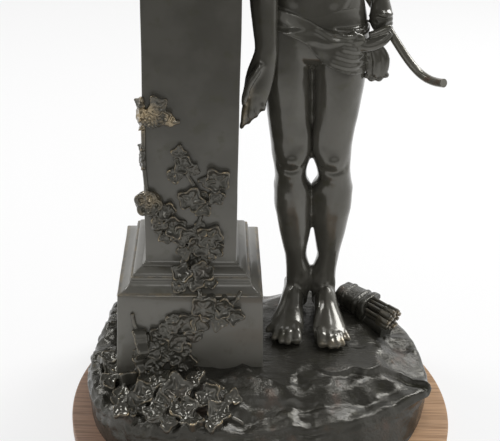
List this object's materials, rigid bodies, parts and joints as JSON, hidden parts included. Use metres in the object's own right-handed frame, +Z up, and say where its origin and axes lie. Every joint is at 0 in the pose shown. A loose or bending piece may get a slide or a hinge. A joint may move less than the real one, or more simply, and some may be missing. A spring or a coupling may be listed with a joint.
{
  "type": "cupid statue",
  "caption": "Cast bronze figure of a standing youth with wings, a hip cloth and a bow, beside an ivy-grown pillar on a rocky base and a round oak foot.",
  "frame": {"origin": "middle of the oak foot's underside, at the bottom centre of the bounding box", "axes": "+Z up, the figure faces -Y, +X is towards the figure's left hand and the bow's lower tip"},
  "size_m": [0.36, 0.36, 0.6456],
  "materials": {
    "figure_bronze": "dark brown-black patina, polished and waxed, worn to brass on toes and fingers",
    "pillar_bronze": "dark brown-black patina, smooth satin faces, worn to brass along the block's edge and on the leaves",
    "rock_bronze": "dark brown-black patina with olive and rust tints in the hollows, glossy",
    "bow_bronze": "dark brown patina, satin",
    "oak": "oiled oak with fine straight grain and saw lines, darker at the edge"
  },
  "bodies": {
    "root": {"cupid": "figure_bronze", "bow": "bow_bronze", "pillar": "pillar_bronze", "rock_base": "rock_bronze", "oak_base": "oak"}
  },
  "joints": []
}
